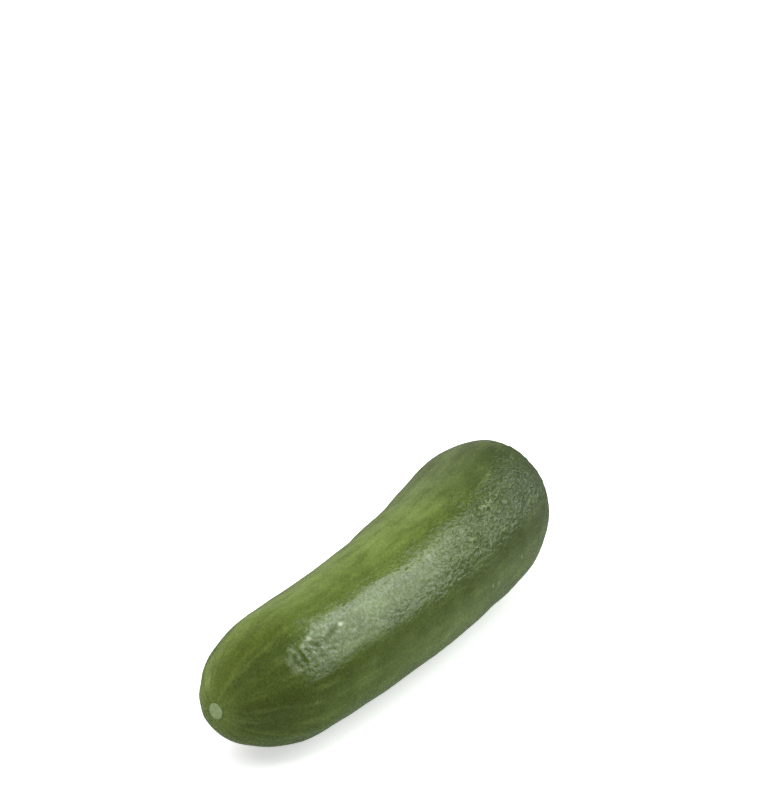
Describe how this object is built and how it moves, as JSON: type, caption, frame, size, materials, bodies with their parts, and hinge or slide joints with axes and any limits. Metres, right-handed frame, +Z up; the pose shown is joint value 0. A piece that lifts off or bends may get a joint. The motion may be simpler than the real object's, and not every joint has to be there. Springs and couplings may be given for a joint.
{
  "type": "mini cucumber",
  "caption": "Whole picked mini cucumber, gently bent and thicker towards the stem end, with a blossom scar and a stem scar, lying on its side.",
  "frame": {"origin": "on the surface it rests on, under the middle of the bounding box", "axes": "+X from the blossom end to the stem end along the longest extent, +Y to the hollow side of the bend, +Z up"},
  "size_m": [0.14, 0.0366, 0.0364],
  "materials": {
    "skin": "waxy green skin, satin, finely crinkled, with pale streaks and corky scars"
  },
  "bodies": {
    "root": {"cucumber": "skin"}
  },
  "joints": []
}
